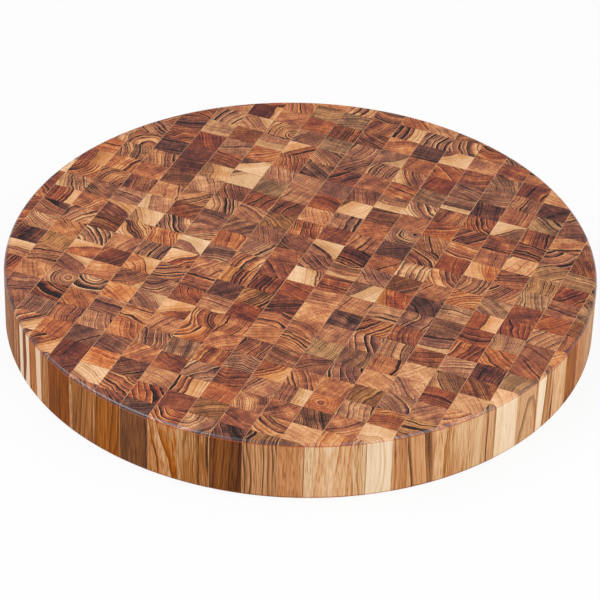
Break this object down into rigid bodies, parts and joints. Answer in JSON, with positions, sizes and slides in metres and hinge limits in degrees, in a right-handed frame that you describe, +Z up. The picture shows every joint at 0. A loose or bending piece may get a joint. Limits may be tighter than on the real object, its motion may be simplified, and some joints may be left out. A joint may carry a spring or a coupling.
{
  "type": "round chopping block",
  "caption": "Round end-grain chopping block: short hardwood blocks standing on end, glued in straight rows, turned round, with rounded rims and two flat faces.",
  "frame": {"origin": "middle of the underside", "axes": "+Z up through the thickness; the rows of blocks run along Y and follow one another along X"},
  "size_m": [0.4572, 0.4572, 0.0508],
  "materials": {
    "end_grain_wood": "oiled, satin",
    "wood_glue": "cured wood glue, sanded flush"
  },
  "bodies": {
    "root": {"row_01_blocks": "end_grain_wood", "row_01_glue": "wood_glue", "row_02_blocks": "end_grain_wood", "row_02_glue": "wood_glue", "row_03_blocks": "end_grain_wood", "row_03_glue": "wood_glue", "row_04_blocks": "end_grain_wood", "row_04_glue": "wood_glue", "row_05_blocks": "end_grain_wood", "row_05_glue": "wood_glue", "row_06_blocks": "end_grain_wood", "row_06_glue": "wood_glue", "row_07_blocks": "end_grain_wood", "row_07_glue": "wood_glue", "row_08_blocks": "end_grain_wood", "row_08_glue": "wood_glue", "row_09_blocks": "end_grain_wood", "row_09_glue": "wood_glue", "row_10_blocks": "end_grain_wood", "row_10_glue": "wood_glue", "row_11_blocks": "end_grain_wood", "row_11_glue": "wood_glue", "row_12_blocks": "end_grain_wood", "row_12_glue": "wood_glue", "row_13_blocks": "end_grain_wood", "row_13_glue": "wood_glue", "row_14_blocks": "end_grain_wood", "row_14_glue": "wood_glue", "row_15_blocks": "end_grain_wood", "row_15_glue": "wood_glue", "row_16_blocks": "end_grain_wood", "row_16_glue": "wood_glue", "row_17_blocks": "end_grain_wood", "row_17_glue": "wood_glue", "row_18_blocks": "end_grain_wood", "row_18_glue": "wood_glue", "row_19_blocks": "end_grain_wood", "row_19_glue": "wood_glue", "row_20_blocks": "end_grain_wood", "row_20_glue": "wood_glue", "glue_line_01": "wood_glue", "glue_line_02": "wood_glue", "glue_line_03": "wood_glue", "glue_line_04": "wood_glue", "glue_line_05": "wood_glue", "glue_line_06": "wood_glue", "glue_line_07": "wood_glue", "glue_line_08": "wood_glue", "glue_line_09": "wood_glue", "glue_line_10": "wood_glue", "glue_line_11": "wood_glue", "glue_line_12": "wood_glue", "glue_line_13": "wood_glue", "glue_line_14": "wood_glue", "glue_line_15": "wood_glue", "glue_line_16": "wood_glue", "glue_line_17": "wood_glue", "glue_line_18": "wood_glue", "glue_line_19": "wood_glue"}
  },
  "joints": []
}
